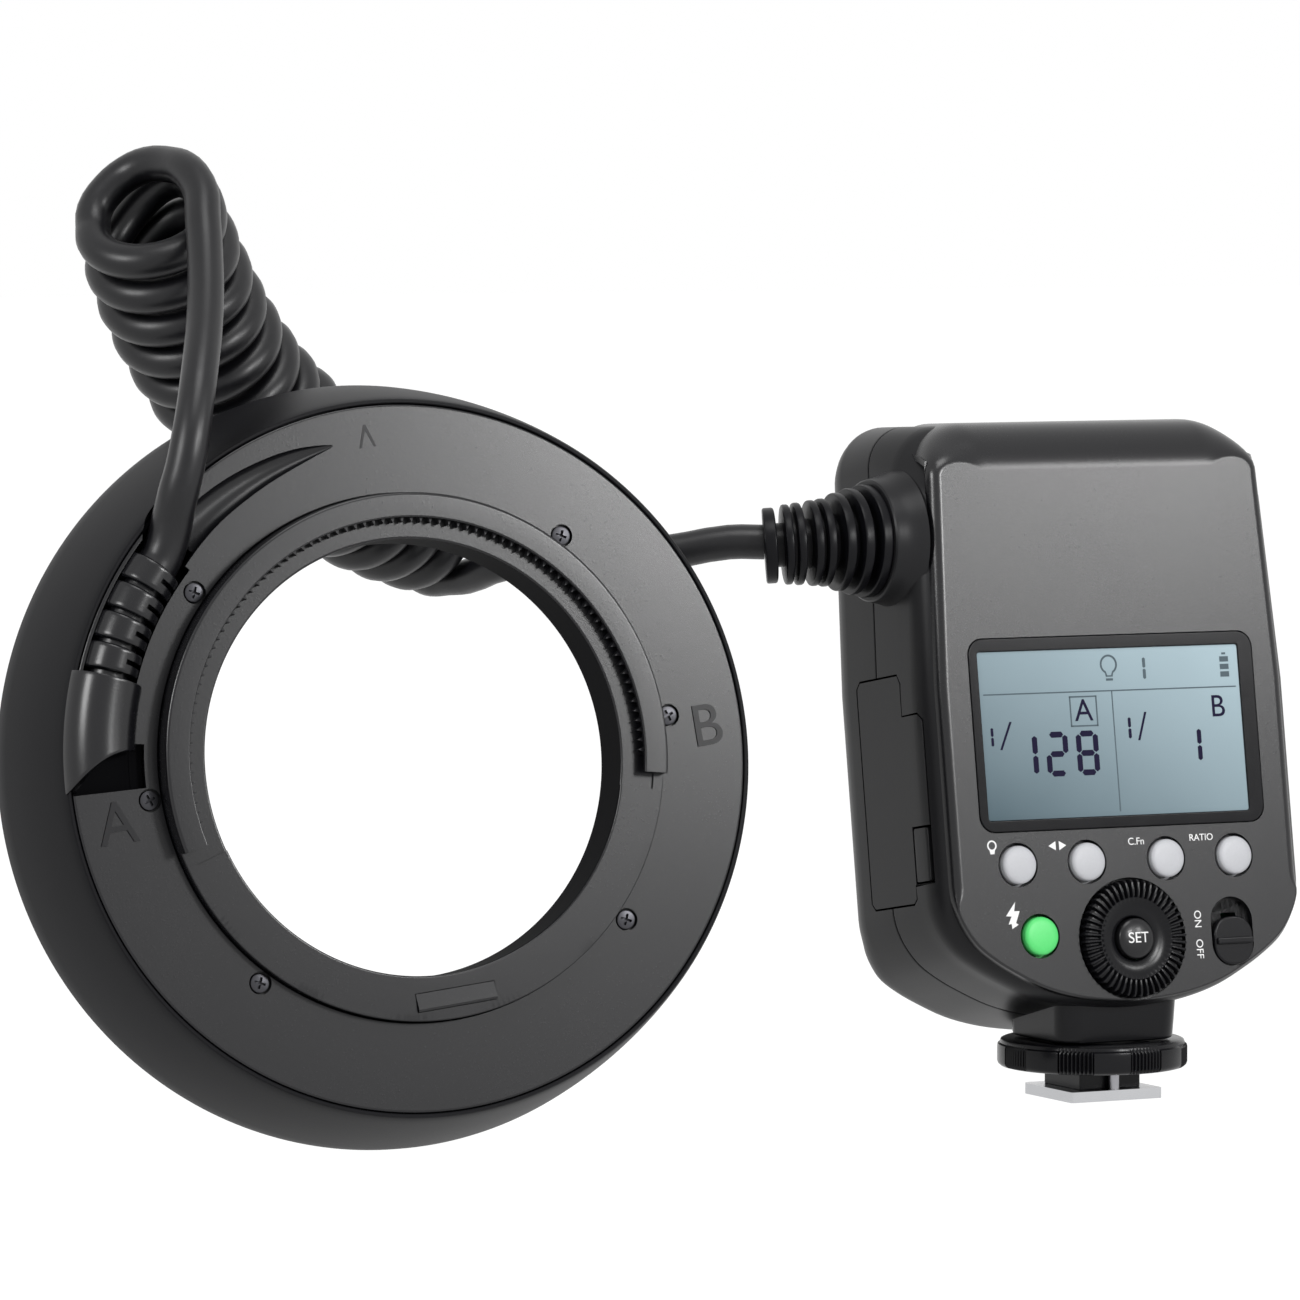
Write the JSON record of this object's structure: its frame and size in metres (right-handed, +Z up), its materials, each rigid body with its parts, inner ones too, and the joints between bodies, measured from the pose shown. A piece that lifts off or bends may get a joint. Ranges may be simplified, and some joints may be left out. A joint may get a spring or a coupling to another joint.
{
  "type": "macro ring flash",
  "caption": "Ring-shaped macro flash head with a lens-adapter seat, joined by a curly cord to a leaning controller with display, dial, side battery and a screw-locked shoe foot.",
  "frame": {"origin": "middle of the shoe plate's underside, at the mount shoe_foot", "axes": "+Z up from the shoe foot, +Y forwards towards the subject, so the display faces -Y and the cord leaves the controller on -X"},
  "size_m": [0.2467, 0.1038, 0.1703],
  "materials": {
    "charcoal": "satin moulded plastic, dark charcoal",
    "soft_black": "black moulded plastic",
    "rubber": "soft black rubber",
    "window": "glossy black frame round a clear window",
    "display": "grey-blue display",
    "light_grey": "light grey rubbery plastic",
    "green": "green translucent plastic",
    "chrome": "bright plated steel",
    "steel": "plated steel",
    "contact": "gilt contact metal",
    "board": "green circuit board",
    "reflector": "bright reflector sheet",
    "diffuser": "frosted clear plastic",
    "lamp": "clear glass",
    "cell": "black battery case with its end cap",
    "capacitor": "shrink sleeve, dark",
    "pad": "grey silicone",
    "ceramic": "white heat-proof mouldings"
  },
  "bodies": {
    "flash": {"ring_housing": "charcoal", "ring_rear_cover": "charcoal", "adapter_seat": "charcoal", "click_ring": "soft_black", "ring_screws": "steel", "front_bezel": "soft_black", "diffuser_a": "diffuser", "diffuser_b": "diffuser", "reflector_a": "reflector", "reflector_b": "reflector", "flash_tube_a": "lamp", "flash_tube_b": "lamp", "tube_grommets": "ceramic", "ring_board": "board", "modelling_leds": "lamp", "cord_bed": "charcoal", "gland_bridge": "charcoal", "ring_gland": "rubber", "cord_ring_lead": "rubber", "cord_curls": "rubber", "cord_controller_lead": "rubber", "controller_gland": "rubber", "rear_shell": "charcoal", "front_shell": "charcoal", "lcd_window": "window", "lcd_panel": "display", "key_pad": "pad", "dial_encoder": "soft_black", "main_board": "board", "main_capacitor": "capacitor", "battery_tray": "soft_black", "battery_contacts": "contact", "shell_screws": "steel", "foot_neck": "soft_black", "shoe_plate": "chrome", "pin_spring": "steel", "foot_screws": "steel"},
    "light_button": {"light_button": "light_grey"},
    "select_button": {"select_button": "light_grey"},
    "function_button": {"function_button": "light_grey"},
    "ratio_button": {"ratio_button": "light_grey"},
    "test_button": {"test_button": "green"},
    "control_dial": {"control_dial": "soft_black"},
    "set_button": {"set_button": "soft_black"},
    "power_switch": {"power_switch": "soft_black"},
    "battery": {"battery_pack": "cell"},
    "battery_latch": {"battery_latch": "charcoal"},
    "lock_washer": {"lock_washer": "steel", "lock_pin": "steel"},
    "lock_wheel": {"lock_wheel": "soft_black"},
    "contact_pin": {"contact_pin": "contact"},
    "adapter_catch": {"adapter_catch": "charcoal"}
  },
  "joints": [
    {"name": "light_press", "type": "slide", "parent": "flash", "child": "light_button", "axis": [0, 0.9877, -0.1564], "range_m": [0, 0.0008], "stiffness_N_per_m": 900, "springref_m": -0.0006},
    {"name": "select_press", "type": "slide", "parent": "flash", "child": "select_button", "axis": [0, 0.9877, -0.1564], "range_m": [0, 0.0008], "stiffness_N_per_m": 900, "springref_m": -0.0006},
    {"name": "function_press", "type": "slide", "parent": "flash", "child": "function_button", "axis": [0, 0.9877, -0.1564], "range_m": [0, 0.0008], "stiffness_N_per_m": 900, "springref_m": -0.0006},
    {"name": "ratio_press", "type": "slide", "parent": "flash", "child": "ratio_button", "axis": [0, 0.9877, -0.1564], "range_m": [0, 0.0008], "stiffness_N_per_m": 900, "springref_m": -0.0006},
    {"name": "test_press", "type": "slide", "parent": "flash", "child": "test_button", "axis": [0, 0.9877, -0.1564], "range_m": [0, 0.0008], "stiffness_N_per_m": 900, "springref_m": -0.0006},
    {"name": "set_press", "type": "slide", "parent": "flash", "child": "set_button", "axis": [0, 0.9877, -0.1564], "range_m": [0, 0.0006], "stiffness_N_per_m": 1200, "springref_m": -0.0005},
    {"name": "dial_turn", "type": "hinge", "parent": "flash", "child": "control_dial", "pos_m": [0, -0.01412, 0.02939], "axis": [0, -0.9877, 0.1564], "continuous": true},
    {"name": "power_slide", "type": "slide", "parent": "flash", "child": "power_switch", "axis": [0, 0.1564, 0.9877], "range_m": [0, 0.0032]},
    {"name": "battery_slide", "type": "slide", "parent": "flash", "child": "battery", "axis": [-1, 0, 0], "range_m": [0, 0.07]},
    {"name": "latch_press", "type": "slide", "parent": "battery", "child": "battery_latch", "axis": [1, 0, 0], "range_m": [0, 0.0012], "stiffness_N_per_m": 800, "springref_m": -0.0006},
    {"name": "lock_drop", "type": "slide", "parent": "flash", "child": "lock_washer", "axis": [0, 0, -1], "range_m": [0, 0.0015]},
    {"name": "lock_turn", "type": "hinge", "parent": "lock_washer", "child": "lock_wheel", "pos_m": [0, 0, 0.0079], "axis": [0, 0, -1], "range_deg": [0, 360]},
    {"name": "contact_press", "type": "slide", "parent": "flash", "child": "contact_pin", "axis": [0, 0, 1], "range_m": [0, 0.0005], "stiffness_N_per_m": 600, "springref_m": -0.001, "deforming": ["pin_spring"]},
    {"name": "catch_press", "type": "slide", "parent": "flash", "child": "adapter_catch", "axis": [0.1104, 0.9841, -0.1392], "range_m": [0, 0.0012], "stiffness_N_per_m": 700, "springref_m": -0.0008}
  ],
  "couplings": [
    {"joint": "lock_turn", "follows": "lock_drop", "rad_per_m": 4188.8}
  ]
}
